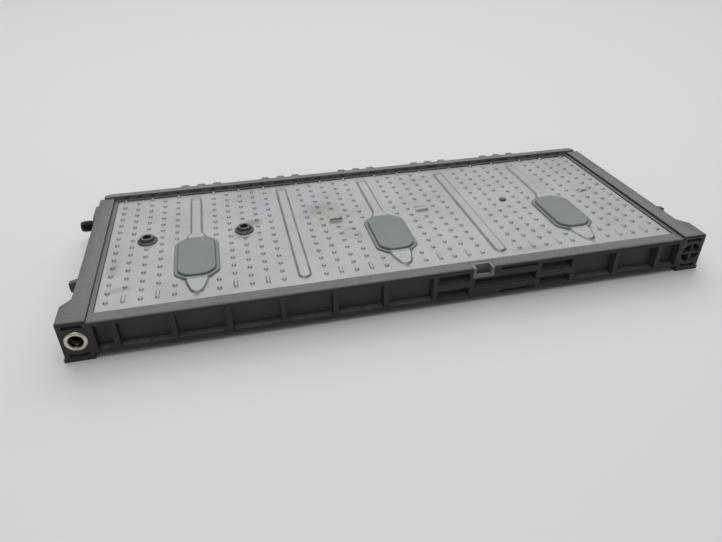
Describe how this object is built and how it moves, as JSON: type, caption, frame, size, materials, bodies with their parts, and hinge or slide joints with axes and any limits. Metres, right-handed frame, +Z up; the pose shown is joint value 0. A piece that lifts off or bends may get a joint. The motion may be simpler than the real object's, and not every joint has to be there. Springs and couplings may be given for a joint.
{
  "type": "battery module",
  "caption": "Flat multi-cell battery module: moulded case with dimpled metal side plates, welded lid, mounting ears and an end terminal on each side.",
  "frame": {"origin": "centre of the module's footprint, on the surface that it lies on", "axes": "+X along the module towards the right terminal, +Y from the mounting face to the lid, +Z up through the thickness"},
  "size_m": [0.2992, 0.1152, 0.0196],
  "materials": {
    "case_resin": "moulded, satin",
    "lid_resin": "moulded, satin",
    "plate_metal": "stamped, matte",
    "pad_resin": "moulded, matte",
    "spacer_resin": "moulded, satin",
    "insert_metal": "nickel plated, turned",
    "clip_nylon": "moulded, matte",
    "stud_steel": "threaded, dark",
    "collar_metal": "nickel plated, turned",
    "seal_rubber": "moulded",
    "electrode_pack": "wrapped stack",
    "collector_nickel": "rolled",
    "link_nickel": "turned",
    "vent_resin": "moulded"
  },
  "bodies": {
    "root": {"button_bottom": "spacer_resin", "button_top": "spacer_resin", "case_frame": "case_resin", "cell_link_1": "link_nickel", "cell_link_2": "link_nickel", "cell_link_3": "link_nickel", "cell_link_4": "link_nickel", "cell_link_5": "link_nickel", "electrode_stack_1": "electrode_pack", "electrode_stack_2": "electrode_pack", "electrode_stack_3": "electrode_pack", "electrode_stack_4": "electrode_pack", "electrode_stack_5": "electrode_pack", "electrode_stack_6": "electrode_pack", "lid": "lid_resin", "mount_insert": "insert_metal", "negative_collector_1": "collector_nickel", "negative_collector_2": "collector_nickel", "negative_collector_3": "collector_nickel", "negative_collector_4": "collector_nickel", "negative_collector_5": "collector_nickel", "negative_collector_6": "collector_nickel", "pad_bottom_left": "pad_resin", "pad_bottom_middle": "pad_resin", "pad_bottom_right": "pad_resin", "pad_top_left": "pad_resin", "pad_top_middle": "pad_resin", "pad_top_right": "pad_resin", "plate_bottom": "plate_metal", "plate_top": "plate_metal", "positive_collector_1": "collector_nickel", "positive_collector_2": "collector_nickel", "positive_collector_3": "collector_nickel", "positive_collector_4": "collector_nickel", "positive_collector_5": "collector_nickel", "positive_collector_6": "collector_nickel", "sensor_clip": "clip_nylon", "spacer_bottom_1": "spacer_resin", "spacer_bottom_2": "spacer_resin", "spacer_top_1": "spacer_resin", "spacer_top_2": "spacer_resin", "terminal_collar_left": "collar_metal", "terminal_collar_right": "collar_metal", "terminal_seal_left": "seal_rubber", "terminal_seal_right": "seal_rubber", "terminal_stud_left": "stud_steel", "terminal_stud_right": "stud_steel", "vent_cap": "vent_resin", "vent_valve": "seal_rubber"}
  },
  "joints": []
}
